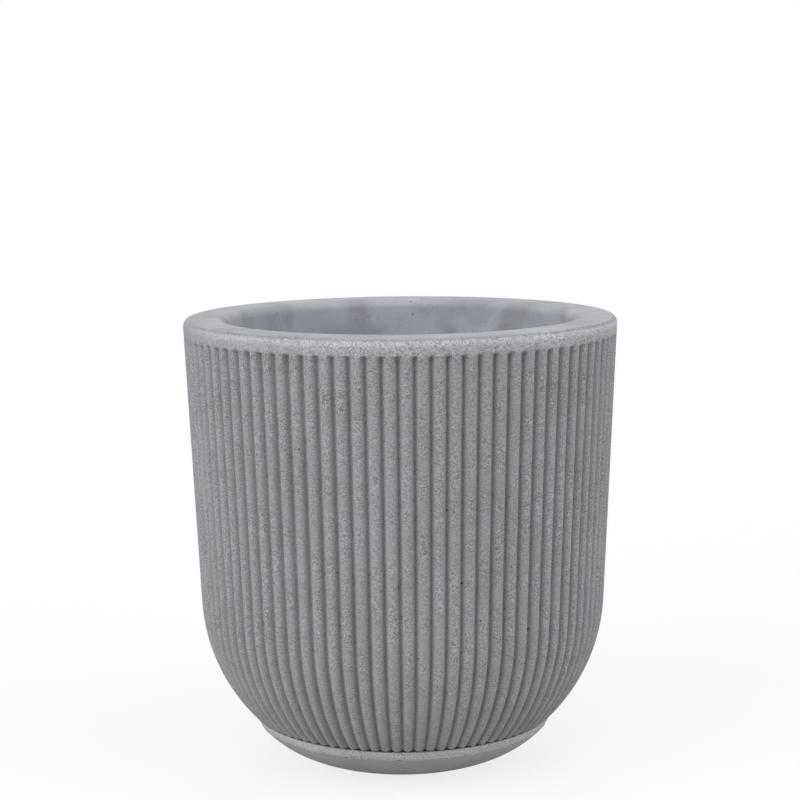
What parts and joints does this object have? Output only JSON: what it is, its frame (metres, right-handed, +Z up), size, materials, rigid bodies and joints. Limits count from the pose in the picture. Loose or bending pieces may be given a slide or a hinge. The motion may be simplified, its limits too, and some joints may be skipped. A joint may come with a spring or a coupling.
{
  "type": "ribbed concrete planter with drip saucer",
  "caption": "Round cast concrete plant pot with a plain rim, upright ribs and a rounded base, nested in a smooth concrete drip saucer, with a rubber drain plug and pads.",
  "frame": {"origin": "on the floor, under the middle of the planter", "axes": "+Z up along the planter's axis, -Y towards the front of the picture"},
  "size_m": [0.22, 0.22, 0.228],
  "materials": {
    "pot_concrete": "matte cast, fine sand grain",
    "saucer_concrete": "matte cast, smooth",
    "plug_rubber": "matte moulded",
    "pad_rubber": "matte moulded"
  },
  "bodies": {
    "saucer": {"saucer": "saucer_concrete", "foot_pad_1": "pad_rubber", "foot_pad_2": "pad_rubber", "foot_pad_3": "pad_rubber", "foot_pad_4": "pad_rubber"},
    "pot": {"pot": "pot_concrete"},
    "drain_plug": {"drain_plug": "plug_rubber"}
  },
  "joints": [
    {"name": "pot_lift", "type": "slide", "parent": "saucer", "child": "pot", "axis": [0, 0, 1], "range_m": [0, 0.06]},
    {"name": "plug_pull", "type": "slide", "parent": "pot", "child": "drain_plug", "axis": [0, 0, 1], "range_m": [0, 0.22]}
  ]
}
